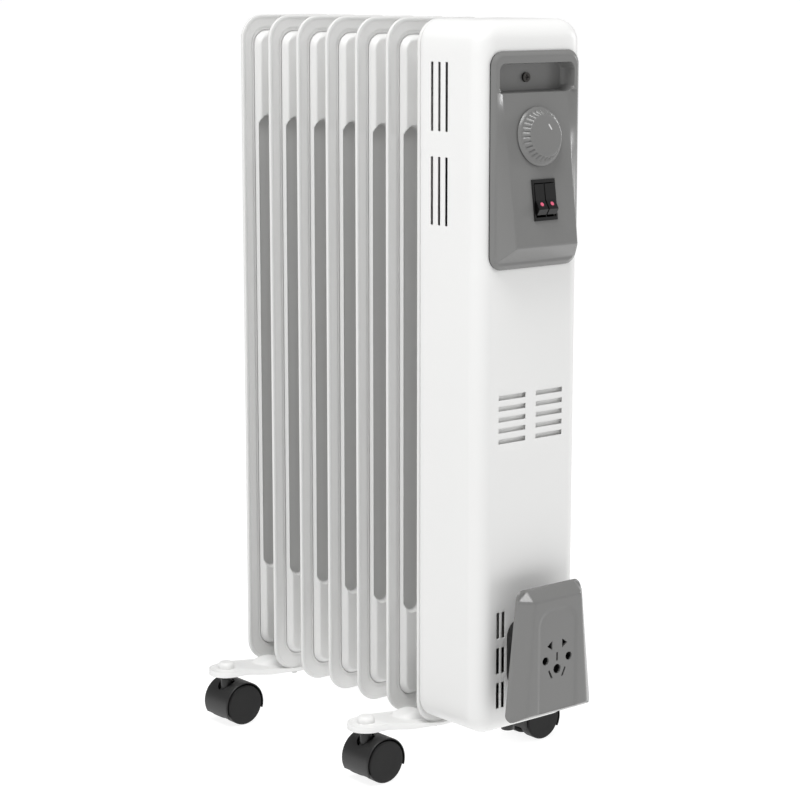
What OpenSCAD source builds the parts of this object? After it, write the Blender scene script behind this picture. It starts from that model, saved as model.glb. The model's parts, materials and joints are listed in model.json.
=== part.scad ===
// Oil filled radiator heater: seven hollow steel fins on two oil headers, a
// sheet-metal control cover with a plastic fascia, a cord store, and two
// clamped feet on swivel casters.
// Millimetres. +Z is up, the control face looks along -Y, and the fins follow
// each other along +Y. The origin is on the floor, under the middle of the part.

/* [Fin block] */
// Width of one fin
fin_w = 110; // [104:1:116]
// Height of one fin
fin_h = 580; // [560:1:600]
// Height of the fins' lower edge above the floor
fin_lift = 42; // [42:1:44]
// Distance from one fin to the next
fin_pitch = 39.5; // [38:0.5:42]
// Corner radius of a fin
fin_corner = 21; // [16:1:24]
// Thickness of the folded seam around a fin
seam_t = 2.8; // [2.2:0.2:3.2]
// Width of the flat flange inside the seam
flange_w = 13; // [11:0.5:14]
// Thickness of a fin over its oil channels
channel_t = 11; // [9:0.5:12]
// Sheet thickness of a fin
fin_sheet = 1; // [0.8:0.1:1.2]
// Distance of each long slot from the middle of the fin
slot_x = 30; // [28:0.5:31]
// Width of the long slots pressed into a fin
slot_w = 18; // [14:0.5:18]
// Distance from the ends of a fin to the ends of its slots
slot_end = 87; // [84:1:96]
// Outer diameter of the oil headers
header_d = 32; // [28:0.5:34]
// Distance of the headers from the ends of a fin
header_inset = 45; // [43:1:48]

/* [Control cover] */
// Depth of the cover in front of the first fin
cover_depth = 75; // [70:1:80]
// Height of the cover's lower edge above the floor
cover_lift = 49; // [48:0.5:52]
// Sheet thickness of the cover
cover_wall = 1.2; // [1:0.1:1.6]
// Radius of the cover's front edges
cover_fillet = 15; // [12:1:17]
// Height of one side vent
side_vent_h = 54; // [40:1:58]
// Number of rows in the front grille
grille_rows = 5; // [3:1:6]

/* [Fascia] */
// Width of the fascia
fascia_w = 93.4; // [90:0.2:95]
// Height of the fascia
fascia_h = 169.5; // [166:0.5:171]
// Height of the fascia's lower edge above the floor
fascia_lift = 428.5; // [425:0.5:431]
// How far the fascia's rim stands out from the cover
rim_out = 4.1; // [3:0.1:5]
// How far the sloped panel's lower edge stands out from the cover
panel_out = 17.6; // [14:0.2:20]
// Depth of the finger recess behind the fascia's rim
handle_depth = 14.5; // [12:0.5:16]

/* [Controls] */
// Diameter of the knob's skirt
knob_skirt_d = 47; // [42:1:48]
// Diameter of the knob's front face
knob_face_d = 33; // [30:1:36]
// How far the knob stands out from the panel
knob_out = 9; // [8:0.5:14]
// Width of the double switch's bezel
switch_w = 24.4; // [24:0.1:26]
// Height of the double switch's bezel
switch_h = 32.4; // [32:0.1:34]
// How far a rocker tips from one state to the other
rocker_travel = 14; // [10:1:16]

/* [Cord store] */
// Width of the cord store's rim at its lower end
store_low_w = 94; // [90:1:96]
// Width of the cord store's rim at its upper end
store_top_w = 70; // [66:1:74]
// Height of the cord store
store_h = 108; // [104:1:110]
// Distance from the cover to the cord store's rim, where the cord is wound
store_gap = 23; // [20:1:26]
// Distance from the cover to the cord store's face
store_out = 35; // [33:1:38]

/* [Feet and casters] */
// Distance from the middle to a caster's stem
stem_x = 96.5; // [94:0.5:100]
// Height of the foot plate's top at the caster
foot_top = 50; // [49:0.5:52]
// Diameter of a caster wheel
wheel_d = 36; // [34:0.5:36]
// Overall width of a caster
caster_w = 35; // [33:0.5:37]
// Distance from a caster's stem to its wheels' axis
caster_trail = 8; // [7:0.5:9]

/* [Hidden] */
$fn = 64;
// Overshoot that keeps a cut clear of the face it opens
eps = 0.5;

// Reach of the part in front of and behind the first fin; the origin is halfway
rear_stub = 15;
rear_reach = 6 * fin_pitch + rear_stub;
front_reach = cover_depth + store_out;
fin_1_y = (front_reach - rear_reach) / 2;
cover_front_y = fin_1_y - cover_depth;

fin_mid_z = fin_lift + fin_h / 2;
header_top_z = fin_lift + fin_h - header_inset;
header_low_z = fin_lift + header_inset;
header_wall = 1.5;
header_bore = header_d - 2 * header_wall;
header_stub = 8;
header_front_y = fin_1_y - header_stub;
header_rear_y = fin_1_y + 6 * fin_pitch + header_stub;
oil_port_d = 7;

cover_back_y = fin_1_y - seam_t / 2;
cover_mid_z = (cover_lift + fin_lift + fin_h) / 2;
cover_h = fin_lift + fin_h - cover_lift;
cover_corner = 19;
shield_y = fin_1_y - 30;

rim_y = cover_front_y - rim_out;
rim_bevel = 4.2;
rim_corner = 12;
fascia_wall = 2.2;
fascia_mid_z = fascia_lift + fascia_h / 2;
panel_top_z = fascia_lift + 137.5;
panel_low_z = fascia_lift + 18;
panel_top_y = cover_front_y - 1.3;
panel_low_y = cover_front_y - panel_out;
panel_top_half = 34.5;
panel_low_half = 32.5;
panel_tilt = atan((panel_top_y - panel_low_y) / (panel_top_z - panel_low_z));
// Height at which the panel is level with the rim: above it the panel lies deeper
level_z = panel_top_z - (panel_top_y - rim_y) / tan(panel_tilt);
handle_half = 39;
handle_top_z = panel_top_z + 22;
handle_back_y = rim_y + handle_depth;

knob_z = fascia_lift + 103;
switch_z = fascia_lift + 54;
knob_gap = 0.4;
shaft_d = 6;
rocker_w = 9.6;
rocker_pivot_in = 5;
rocker_pin_d = 2.4;
running_gap = 0.05;

store_lift = 66;
store_wall = 2;
store_rim_y = cover_front_y - store_gap;
store_face_y = cover_front_y - store_out;
hub_half = 24;
hub_low_z = 86;
hub_top_z = 143;

foot_front_y = fin_1_y + fin_pitch / 2 - 3;
foot_rear_y = fin_1_y + 5.5 * fin_pitch - 3;
foot_sheet = 1.6;
foot_tip_r = 15.5;
foot_mid_half = 23;
u_rod_d = 5;
u_bend_r = header_d / 2 + u_rod_d / 2;
stem_pin_d = 5;
socket_d = 10;
socket_top = 41;
hood_r = 20.3;
hood_wall = 1.4;
wheel_face = caster_w / 2;
wheel_inner = 5.8;
axle_d = 4;

function panel_y(z) = panel_top_y - (panel_top_z - z) * tan(panel_tilt);

// ---- shared shapes -------------------------------------------------------

// A rounded rectangle around the origin
module round_rect(w, h, r) {
    square([w - 2 * r, h], center = true);
    square([w, h - 2 * r], center = true);
    for (sx = [-1, 1], sy = [-1, 1])
        translate([sx * (w / 2 - r), sy * (h / 2 - r)])
            circle(r);
}

// Stands a flat outline up in the XZ plane and gives it the depth y0 to y1
module upright(y0, y1) {
    translate([0, y1, 0])
        rotate([90, 0, 0])
            linear_extrude(y1 - y0)
                children();
}

// A cylinder along Y, from y0 to y1
module rod_y(d, y0, y1) {
    translate([0, y1, 0])
        rotate([90, 0, 0])
            cylinder(d = d, h = y1 - y0);
}

// Places its children on the sloped panel: -Y is out of the panel, +Z up along it
module on_panel(z) {
    translate([0, panel_y(z), z])
        rotate([-panel_tilt, 0, 0])
            children();
}

// ---- fin block -----------------------------------------------------------

module fin_outline(inset) {
    translate([0, fin_mid_z])
        round_rect(fin_w - 2 * inset, fin_h - 2 * inset, max(fin_corner - inset, 9));
}

module slot_outline(grow) {
    for (side = [-1, 1])
        translate([side * slot_x, fin_mid_z])
            round_rect(slot_w + 2 * grow, fin_h - 2 * slot_end + 2 * grow, slot_w / 2 + grow - 0.01);
}

module fin(i) {
    y = fin_1_y + i * fin_pitch;
    half = channel_t / 2;
    color("gainsboro")
        difference() {
            union() {
                upright(y - seam_t / 2, y + seam_t / 2)
                    fin_outline(0);
                upright(y - half, y + half)
                    difference() {
                        fin_outline(flange_w);
                        slot_outline(0);
                    }
            }
            upright(y - half + fin_sheet, y + half - fin_sheet)
                difference() {
                    fin_outline(flange_w + fin_sheet);
                    slot_outline(fin_sheet);
                }
            for (z = [header_top_z, header_low_z])
                translate([0, 0, z])
                    rod_y(header_d, y - half - eps, y + half + eps);
        }
}

// A header tube through all fins, with an oil port inside each fin
module header(z) {
    color("lightgray")
        difference() {
            translate([0, 0, z])
                rod_y(header_d, header_front_y, header_rear_y);
            translate([0, 0, z])
                rod_y(header_bore, header_front_y - eps, header_rear_y + eps);
            for (i = [0:6])
                translate([0, fin_1_y + i * fin_pitch, z - header_d / 2 - eps])
                    cylinder(d = oil_port_d, h = header_d + 2 * eps);
        }
}

// A pressed cap: a disc over the tube's end and a plug in its bore
module header_cap(z, face_y, dir) {
    color("silver")
        translate([0, face_y, z])
            rotate([dir * 90, 0, 0]) {
                cylinder(d = header_d, h = 2);
                translate([0, 0, -5])
                    cylinder(d = header_bore, h = 5);
            }
}

// The hexagon plug that closes the filling hole after the oil is in
module filler_plug() {
    color("silver")
        translate([0, header_rear_y, header_top_z])
            rotate([-90, 0, 0]) {
                cylinder(d = 27, h = rear_stub - header_stub, $fn = 6);
                translate([0, 0, -6])
                    cylinder(d = header_bore, h = 6);
            }
}

element_rod_d = 7;
element_x = 5.5;
element_z = 6.5;
element_end_y = fin_1_y + 5.4 * fin_pitch;

// Two hairpins, one for each switch, lying in the lower header
module heating_element() {
    color("dimgray")
        for (side = [-1, 1])
            translate([0, element_end_y, header_low_z + side * element_z]) {
                for (x = [-element_x, element_x])
                    translate([x, 0, 0])
                        rod_y(element_rod_d, header_front_y - 18 - element_end_y, 0);
                rotate_extrude(angle = 180)
                    translate([element_x, 0])
                        circle(d = element_rod_d);
            }
}

module element_flange() {
    color("goldenrod")
        translate([0, 0, header_low_z])
            difference() {
                union() {
                    translate([0, header_front_y, 0])
                        rotate([90, 0, 0])
                            cylinder(d = 40, h = 7, $fn = 6);
                    rod_y(header_bore, header_front_y, header_front_y + 12);
                }
                for (x = [-element_x, element_x], z = [-element_z, element_z])
                    translate([x, 0, z])
                        rod_y(element_rod_d, header_front_y - 8, header_front_y + 13);
            }
}

// ---- control cover -------------------------------------------------------

module cover_outline(inset) {
    translate([0, cover_mid_z])
        round_rect(fin_w - 2 * inset, cover_h - 2 * inset, cover_corner - inset);
}

// The cover's outer form, or its inside when inset is the sheet thickness
module cover_form(inset, back_y) {
    r = cover_fillet - inset;
    reach_x = fin_w / 2 - cover_corner;
    reach_z = cover_h / 2 - cover_corner;
    hull() {
        upright(back_y - 0.1, back_y)
            cover_outline(inset);
        for (sx = [-1, 1], sz = [-1, 1])
            translate([sx * reach_x, cover_front_y + cover_fillet, cover_mid_z + sz * reach_z])
                rotate([90, 0, 0])
                    rotate_extrude($fn = 48)
                        translate([cover_corner - cover_fillet, 0])
                            intersection() {
                                circle(r, $fn = 48);
                                translate([-(cover_corner - cover_fillet), 0])
                                    square([cover_corner, 2 * r]);
                            }
    }
}

// A slot with square ends through the cover's front, centred on x and z
module front_slot(x, z, w, h) {
    translate([x - w / 2, cover_front_y - eps, z - h / 2])
        cube([w, cover_wall + 2 * eps, h]);
}

side_vent_y = [16.7, 25.4, 34.1];
side_vent_z = [488, 562];
side_vent_w = 3;
low_vent_x = [27.8, 33.4];
low_vent_z = [82, 111, 140.5];
low_vent_w = 2.2;
low_vent_h = 21.5;
grille_x = 20;
grille_w = 29;
grille_top_z = 326.5;
grille_step = 8.8;
grille_h = 3.9;

// A shallow tray behind the grille: it keeps a finger and the light out
module grille_tray() {
    half = grille_x + grille_w / 2 + 3;
    low_z = grille_top_z - (grille_rows - 1) * grille_step - grille_h / 2 - 5;
    tall = grille_top_z + grille_h / 2 + 5 - low_z;
    front = cover_front_y + cover_wall;
    difference() {
        translate([-half, front - 0.2, low_z])
            cube([2 * half, 4.2, tall]);
        translate([-half + 1, front - 1, low_z + 1])
            cube([2 * half - 2, 4, tall - 2]);
    }
}

module front_cover() {
    lip = 1.5;
    color("whitesmoke")
        difference() {
            union() {
                cover_form(0, cover_back_y - 2);
                upright(cover_back_y - 2.5, cover_back_y)
                    cover_outline(lip);
            }
            cover_form(cover_wall, cover_back_y - 3);
            upright(cover_back_y - 4, cover_back_y + eps)
                cover_outline(lip + cover_wall);
            upright(cover_front_y - eps, cover_front_y + 3)
                translate([0, fascia_mid_z])
                    round_rect(fascia_w - 8, fascia_h - 8, 8);
            for (y = side_vent_y, z = side_vent_z)
                translate([-fin_w / 2 - eps, fin_1_y - y - side_vent_w / 2, z - side_vent_h / 2])
                    cube([fin_w + 2 * eps, side_vent_w, side_vent_h]);
            for (side = [-1, 1], x = low_vent_x, z = low_vent_z)
                front_slot(side * x, z, low_vent_w, low_vent_h);
            for (side = [-1, 1], row = [0:grille_rows - 1])
                front_slot(side * grille_x, grille_top_z - row * grille_step, grille_w, grille_h);
            translate([0, gland_y, cover_lift - eps])
                cylinder(d = gland_d, h = cover_wall + 2 * eps);
            for (z = [screw_low_z, screw_top_z])
                translate([0, 0, z])
                    rod_y(screw_d, cover_front_y - 2, cover_front_y + 4);
        }
    color("whitesmoke")
        grille_tray();
}

// The plate that keeps the fins' heat from the switches, with the post of the fascia's screw
module heat_shield() {
    color("silver")
        difference() {
            upright(shield_y - 1, shield_y)
                cover_outline(cover_wall);
            translate([0, 0, header_low_z])
                rod_y(48, shield_y - 2, shield_y + 1);
            translate([-14, shield_y - 2, 250])
                cube([28, 3, 60]);
        }
    color("silver")
        translate([0, 0, handle_screw_z])
            difference() {
                rod_y(10, handle_back_y + fascia_wall, shield_y - 1);
                rod_y(4, handle_back_y, handle_back_y + 12);
            }
}

// ---- fascia --------------------------------------------------------------

// A thin upright board with the fascia's outline, its front face at y
module fascia_board(y, inset, t) {
    upright(y, y + t)
        translate([0, fascia_mid_z])
            round_rect(fascia_w - 2 * inset, fascia_h - 2 * inset, rim_corner - inset / 2);
}

// A sliver of the sloped panel's face, drawn back from it by back
module panel_edge(z, half, back) {
    translate([-half, panel_y(z) + back, z])
        cube([2 * half, 0.05, 0.05]);
}

// The rim and the sloped panel as one solid; back moves every face inwards
module fascia_form(back) {
    rim_half = fascia_w / 2 - rim_bevel - back;
    difference() {
        union() {
            hull() {
                fascia_board(cover_front_y - 0.3, back, back > 0 ? 0.8 : 0.3);
                fascia_board(rim_y + back, rim_bevel + back, 0.3);
            }
            hull() {
                translate([-rim_half, rim_y + back, fascia_lift + 6 + back])
                    cube([2 * rim_half, 0.3, level_z - fascia_lift - 6 - back]);
                panel_edge(panel_low_z + back / 2, panel_low_half - back, back);
                panel_edge(level_z, panel_top_half - back, back);
            }
        }
        // Above the line where panel and rim are level, the panel lies behind the rim
        hull() {
            translate([-rim_half, rim_y + back - 1, level_z])
                cube([2 * rim_half, 1, panel_top_z - level_z]);
            panel_edge(panel_top_z, panel_top_half - back, back);
            panel_edge(level_z, panel_top_half - back, back);
        }
    }
}

module handle_pocket(grow) {
    h = handle_top_z - panel_top_z;
    upright(rim_y - 2, handle_back_y + grow)
        translate([0, panel_top_z + h / 2])
            round_rect(2 * (handle_half + grow), h + 2 * grow, 5 + grow);
}

module fascia() {
    color("gray")
        difference() {
            union() {
                difference() {
                    fascia_form(0);
                    difference() {
                        fascia_form(fascia_wall);
                        handle_pocket(fascia_wall);
                    }
                }
                hull()
                    for (z = [level_z - 4, panel_top_z - 0.05], back = [0, fascia_wall])
                        panel_edge(z, panel_top_half, back);
                intersection() {
                    handle_pocket(fascia_wall);
                    translate([-fascia_w / 2, panel_top_y, fascia_lift])
                        cube([fascia_w, handle_depth + fascia_wall, fascia_h]);
                }
            }
            handle_pocket(0);
            on_panel(knob_z)
                rod_y(shaft_d + 1, -3, 5);
            on_panel(switch_z)
                cube([switch_w - 3, 12, switch_h - 3], center = true);
            translate([0, 0, handle_screw_z])
                rod_y(4, handle_back_y - 1, handle_back_y + 4);
        }
}

handle_screw_z = 577;

module handle_screw() {
    color("dimgray")
        translate([0, 0, handle_screw_z]) {
            rod_y(4, handle_back_y, handle_back_y + 9);
            difference() {
                rod_y(7.5, handle_back_y - 2, handle_back_y);
                for (a = [0, 90])
                    rotate([0, a, 0])
                        translate([-2.2, handle_back_y - 3, -0.5])
                            cube([4.4, 2, 1]);
            }
        }
}

// ---- controls ------------------------------------------------------------

thermostat_front = fascia_wall + 2;

module thermostat_body() {
    color("ivory")
        on_panel(knob_z)
            difference() {
                union() {
                    translate([-15, thermostat_front, -17])
                        cube([30, 14, 34]);
                    rod_y(11, fascia_wall, thermostat_front + 1);
                }
                rod_y(shaft_d + 2 * running_gap, fascia_wall - 1, thermostat_front + 11);
            }
}

module thermostat_shaft() {
    color("silver")
        on_panel(knob_z)
            rod_y(shaft_d, -5, thermostat_front + 10.5);
}

knob_ribs = 28;
skirt_h = 2.6;

module knob() {
    grip_low_d = knob_skirt_d - 6;
    grip_from = knob_gap + skirt_h;
    lean = atan((grip_low_d - knob_face_d) / 2 / (knob_out - grip_from));
    color("gray")
        on_panel(knob_z)
            difference() {
                rotate([90, 0, 0])
                    union() {
                        translate([0, 0, knob_gap])
                            cylinder(d1 = knob_skirt_d, d2 = knob_skirt_d - 5, h = skirt_h);
                        translate([0, 0, knob_gap + skirt_h - 0.1])
                            cylinder(d1 = grip_low_d, d2 = knob_face_d, h = knob_out - skirt_h - knob_gap + 0.1);
                    }
                rod_y(shaft_d, -5, 1);
                for (i = [0:knob_ribs - 1])
                    rotate([0, i * 360 / knob_ribs, 0])
                        translate([grip_low_d / 2 + 0.5, -grip_from, 0])
                            rotate([0, 0, -lean])
                                rod_y(2.4, -6, -0.6);
                knob_mark_slot(1);
            }
}

// The slanted mark in the knob's face; over is how far the slot overshoots the face
module knob_mark_slot(over) {
    translate([4.7, -knob_out - over, 6.6])
        rotate([0, -33, 0])
            translate([-0.8, 0, -3.2])
                cube([1.6, 0.4 + over, 6.4]);
}

module knob_mark() {
    color("white")
        on_panel(knob_z)
            knob_mark_slot(0);
}

rocker_x = 5.4;
rocker_room_w = rocker_w + 0.6;
housing_deep = 17;
bezel_out = 1.2;

module switch_housing() {
    color("black")
        on_panel(switch_z) {
            difference() {
                union() {
                    translate([-switch_w / 2, -bezel_out, -switch_h / 2])
                        cube([switch_w, bezel_out, switch_h]);
                    translate([-(switch_w - 3) / 2, -eps, -(switch_h - 3) / 2])
                        cube([switch_w - 3, housing_deep, switch_h - 3]);
                }
                for (side = [-1, 1])
                    translate([side * rocker_x - rocker_room_w / 2, -bezel_out - 1, -13.4])
                        cube([rocker_room_w, bezel_out + 13, 26.8]);
            }
            translate([-(switch_w - 3) / 2, rocker_pivot_in, 0])
                rotate([0, 90, 0])
                    cylinder(d = rocker_pin_d - 2 * running_gap, h = switch_w - 3);
            for (x = [-7, 0, 7])
                translate([x - 0.4, housing_deep - eps, -3])
                    cube([0.8, 8, 6]);
        }
}

// One rocker: its upper half lies level, its lower half stands out to a ridge
module rocker(side) {
    face = bezel_out + 0.4;
    ridge = bezel_out + 3.9;
    profile = [
        [0, face], [12.6, face - 0.2], [12.6, -1], [5, -8.5], [-5, -8.5], [-11.4, -2],
        [-11.6, bezel_out + 0.6], [-7.6, ridge]
    ];
    color("#1a1a1a")
        on_panel(switch_z)
            difference() {
                translate([side * rocker_x - rocker_w / 2, 0, 0])
                    rotate([90, 0, 90])
                        linear_extrude(rocker_w)
                            polygon([for (p = profile) [-p[1], p[0]]]);
                translate([-switch_w, rocker_pivot_in, 0])
                    rotate([0, 90, 0])
                        cylinder(d = rocker_pin_d, h = 2 * switch_w);
                lamp_seat(side, 0);
            }
}

lamp_z = -4;
lamp_d = 3.2;
lamp_lean = 24;

module lamp_seat(side, proud) {
    translate([side * rocker_x, -bezel_out - 0.8, lamp_z])
        rotate([-lamp_lean, 0, 0])
            rod_y(lamp_d, -3 - proud, 1.6);
}

// The lens over a rocker's glow lamp, cut off a little above the rocker's face
module lamp(side) {
    color("#e05070")
        on_panel(switch_z)
            translate([side * rocker_x, -bezel_out - 0.8, lamp_z])
                rotate([-lamp_lean, 0, 0])
                    rod_y(lamp_d, -1.6, 1.6);
}

// ---- parts inside the cover ----------------------------------------------

module thermal_cutout() {
    color("ivory")
        translate([0, fin_1_y, 230]) {
            rod_y(16, -5.5 - 6, -5.5);
            rod_y(12, -5.5 - 12, -5.5 - 6);
        }
}

module tilt_switch() {
    color("dimgray")
        translate([-18, shield_y - 1 - 18, 340])
            cube([36, 18, 44]);
}

module terminal_block() {
    color("beige")
        difference() {
            translate([-24, shield_y - 1 - 16, 190])
                cube([48, 16, 20]);
            for (i = [0:3])
                translate([-18 + i * 12, 0, 200])
                    rod_y(5, shield_y - 18, shield_y - 6);
        }
}

// The leads from the switches down to the terminals, in one sleeve
module wire_harness() {
    r = 3;
    bend = 10;
    x = 7;
    y = shield_y - 36;
    low_z = 200;
    top_z = switch_z - 6.5;
    color("darkred") {
        translate([x, y, low_z + bend])
            cylinder(r = r, h = top_z - low_z - bend);
        translate([x, y + bend, low_z + bend])
            rotate([90, 0, -90])
                rotate_extrude(angle = -90)
                    translate([bend, 0])
                        circle(r);
        translate([x, 0, low_z])
            rod_y(2 * r, y + bend, shield_y - 17);
    }
}

// ---- cord store ----------------------------------------------------------

gland_y = cover_front_y + 24;
gland_d = 9;
gland_bore = 6.4;

// The gland in the cover's floor that the mains cord comes out of
module cord_gland() {
    color("black")
        translate([0, gland_y, cover_lift])
            difference() {
                union() {
                    translate([0, 0, -8])
                        cylinder(d = 11, h = 8);
                    cylinder(d = gland_d, h = cover_wall);
                    translate([0, 0, cover_wall])
                        cylinder(d = 12.5, h = 2.4);
                }
                translate([0, 0, -9])
                    cylinder(d = gland_bore, h = 14);
            }
}

screw_d = 4;
screw_low_z = 95;
screw_top_z = 133;
boss_d = 7;
hub_plate = 6;

module hub_outline(inset) {
    translate([0, (hub_low_z + hub_top_z) / 2])
        round_rect(2 * (hub_half - inset), hub_top_z - hub_low_z - 2 * inset, 14 - inset);
}

// The drum that the cord is wound on; its narrower nose clears the shell's sloping sides
module cord_store_hub() {
    nose = 3;
    nose_inset = 4;
    color("#202020")
        difference() {
            union() {
                upright(store_face_y + store_wall, store_face_y + store_wall + nose)
                    hub_outline(nose_inset);
                upright(store_face_y + store_wall + nose, cover_front_y)
                    hub_outline(0);
            }
            upright(store_face_y + store_wall + hub_plate, cover_front_y + eps)
                difference() {
                    hub_outline(2.5);
                    for (z = [screw_low_z, screw_top_z])
                        translate([0, z])
                            circle(d = boss_d + 3);
                }
            plug_holes(store_face_y + store_wall - eps, store_face_y + store_wall + hub_plate + eps);
            for (z = [screw_low_z, screw_top_z])
                translate([0, 0, z]) {
                    rod_y(boss_d, store_face_y, store_face_y + store_wall + hub_plate);
                    rod_y(screw_d, store_face_y + store_wall, cover_front_y + eps);
                }
        }
}

// A rounded trapezium: the outline of the store's rim or of its face
module store_outline(low_half, top_half, z0, z1, r, y, t) {
    hull()
        for (side = [-1, 1]) {
            translate([side * (low_half - r), y, z0 + r])
                rod_y(2 * r, 0, t, $fn = 32);
            translate([side * (top_half - r), y, z1 - r])
                rod_y(2 * r, 0, t, $fn = 32);
        }
}

module store_form(back) {
    hull() {
        store_outline(store_low_w / 2 - back, store_top_w / 2 - back, store_lift + back,
                      store_lift + store_h - back, 8, store_rim_y - 2, 2);
        store_outline(store_low_w / 2 - 11 - back, store_top_w / 2 - 12.5 - back, store_lift + 6 + back,
                      store_lift + store_h - 8.5 - back, 5, store_face_y + back, 0.2);
    }
}

plug_pin_d = 6.8;
plug_pin_x = 12.7;
plug_pin_z = 114.8;

// The holes that park any of the common plugs
module plug_holes(y0, y1) {
    for (side = [-1, 1]) {
        translate([side * plug_pin_x, 0, plug_pin_z])
            rod_y(plug_pin_d, y0, y1);
        upright(y0, y1)
            translate([side * 8, 126.7])
                polygon([[-side * 2.6, -4], [-side * 2.6, 4], [side * 3, 0]]);
        upright(y0, y1)
            translate([side * 7.2, 102.8])
                rotate([0, 0, side * -28])
                    square([1.9, 7.5], center = true);
    }
    translate([0, 0, 106.4])
        rod_y(7.8, y0, y1);
    upright(y0, y1)
        translate([0, 116.6])
            square([1.9, 7], center = true);
}

module cord_store_shell() {
    color("gray") {
        difference() {
            store_form(0);
            difference() {
                store_form(store_wall);
                translate([-60, store_face_y - 1, 0])
                    cube([120, store_wall + 1, 300]);
            }
            translate([-60, store_rim_y - 0.2, 0])
                cube([120, 10, 300]);
            plug_holes(store_face_y - 1, store_face_y + store_wall + 1);
            upright(store_face_y - 1, store_face_y + 0.8)
                translate([0, 114])
                    round_rect(32, 78, 10);
        }
        for (z = [screw_low_z, screw_top_z])
            translate([0, 0, z])
                difference() {
                    rod_y(boss_d, store_face_y + 1, store_face_y + store_wall + hub_plate);
                    rod_y(screw_d, store_face_y + store_wall, store_rim_y);
                }
    }
}

// A screw from inside the cover, through the hub, into the shell's boss
module cord_store_screw(z) {
    color("dimgray")
        translate([0, 0, z]) {
            rod_y(screw_d, store_face_y + store_wall, cover_front_y + cover_wall);
            rod_y(8, cover_front_y + cover_wall, cover_front_y + cover_wall + 2.4);
        }
}

// ---- feet ----------------------------------------------------------------

// Plan of a foot: round tips under the casters, widest under the fins
module foot_plan(inset) {
    hull()
        for (side = [-1, 1]) {
            translate([side * stem_x, 0])
                circle(foot_tip_r - inset, $fn = 48);
            translate([side * 34, 0])
                square([2, 2 * (foot_mid_half - inset)], center = true);
        }
}

// Side view of a foot's pressed plate: level under the fins, rising to the casters
module foot_side(drop, deep) {
    reach = stem_x + foot_tip_r + 5;
    rise_in = 40;
    rise_out = 74;
    lift = foot_top - fin_lift;
    polygon([
        [-reach, lift - drop], [-rise_out, lift - drop], [-rise_in, -drop], [rise_in, -drop],
        [rise_out, lift - drop], [reach, lift - drop],
        [reach, lift - deep], [rise_out, lift - deep], [rise_in, -foot_sheet - 0.8], [-rise_in, -foot_sheet - 0.8],
        [-rise_out, lift - deep], [-reach, lift - deep]
    ]);
}

module foot(y) {
    color("white")
        difference() {
            union() {
                intersection() {
                    translate([0, y, 20])
                        linear_extrude(60)
                            foot_plan(0);
                    upright(y - 40, y + 40)
                        translate([0, fin_lift])
                            foot_side(0, 5.2);
                }
                for (side = [-1, 1])
                    for (x = [-6, 6])
                        translate([side * 47 + x, y + 3, fin_lift - 1])
                            cylinder(d = 18, h = foot_top - fin_lift);
            }
            intersection() {
                translate([0, y, 20])
                    linear_extrude(60)
                        foot_plan(foot_sheet);
                upright(y - 40, y + 40)
                    translate([0, fin_lift])
                        foot_side(foot_sheet, 9);
            }
            for (side = [-1, 1]) {
                translate([side * stem_x, y, 30])
                    cylinder(d = stem_pin_d, h = 40);
                translate([side * u_bend_r, y + 3, 30])
                    cylinder(d = u_rod_d + 0.2, h = 20);
            }
        }
}

// The U-bolt that hangs the foot from the lower header
module u_bolt(y) {
    color("silver")
        translate([0, y + 3, header_low_z]) {
            rotate([90, 0, 0])
                rotate_extrude(angle = 180)
                    translate([u_bend_r, 0])
                        circle(d = u_rod_d);
            for (side = [-1, 1])
                translate([side * u_bend_r, 0, 30 - header_low_z])
                    cylinder(d = u_rod_d, h = header_low_z - 30);
        }
}

module wing_nut(y, side) {
    nut_top = fin_lift - foot_sheet;
    color("silver")
        translate([side * u_bend_r, y + 3, nut_top - 6])
            difference() {
                union() {
                    cylinder(d = 10, h = 6);
                    for (a = [-1, 1])
                        translate([0, a * 7, 2])
                            cube([2, 8, 4], center = true);
                }
                translate([0, 0, -1])
                    cylinder(d = u_rod_d, h = 8);
            }
}

// ---- casters -------------------------------------------------------------

// Places a caster drawn with its stem at the origin and its wheels towards +X
module at_caster(side, y) {
    translate([side * stem_x, y, 0])
        rotate([0, 0, side < 0 ? 0 : 180])
            children();
}

// The stem: riveted head on top of the foot, shoulder under it, pin in the socket
module stem() {
    color("whitesmoke")
        rotate_extrude()
            polygon([
                [0, 24.5], [stem_pin_d / 2 - running_gap, 24.5], [stem_pin_d / 2 - running_gap, socket_top + 0.3],
                [4.5, socket_top + 0.3], [4.5, foot_top - foot_sheet], [stem_pin_d / 2, foot_top - foot_sheet],
                [stem_pin_d / 2, foot_top], [7.4, foot_top], [7.4, foot_top + 4], [6, foot_top + 6], [0, foot_top + 6]
            ]);
}

// What lies above the hood's ends, the one on the stem's side being the lower
module hood_keep() {
    upright(-caster_w, caster_w)
        translate([caster_trail, wheel_d / 2])
            polygon([[-30, -10], [0, -10], [0, -6], [30, -6], [30, 40], [-30, 40]]);
}

module hood() {
    r = wheel_d / 2;
    half = wheel_face - 0.4;
    color("#262626")
        difference() {
            union() {
                intersection() {
                    translate([caster_trail, 0, r])
                        difference() {
                            rod_y(2 * hood_r, -half, half);
                            rod_y(2 * (hood_r - hood_wall), -half - 1, half + 1);
                        }
                    difference() {
                        hood_keep();
                        translate([0, 0, r])
                            cylinder(d = socket_d + 5, h = 40);
                    }
                }
                intersection() {
                    translate([caster_trail, 0, r])
                        rod_y(2 * hood_r - 1, -1.5, 1.5);
                    hood_keep();
                }
                translate([0, 0, 23])
                    cylinder(d = socket_d, h = socket_top - 23);
                translate([caster_trail, 0, r]) {
                    rod_y(9, -1.5, 1.5);
                    rod_y(axle_d, -wheel_face + 2.6, wheel_face - 2.6);
                }
            }
            translate([0, 0, 24])
                cylinder(d = stem_pin_d, h = 40);
        }
}

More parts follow.
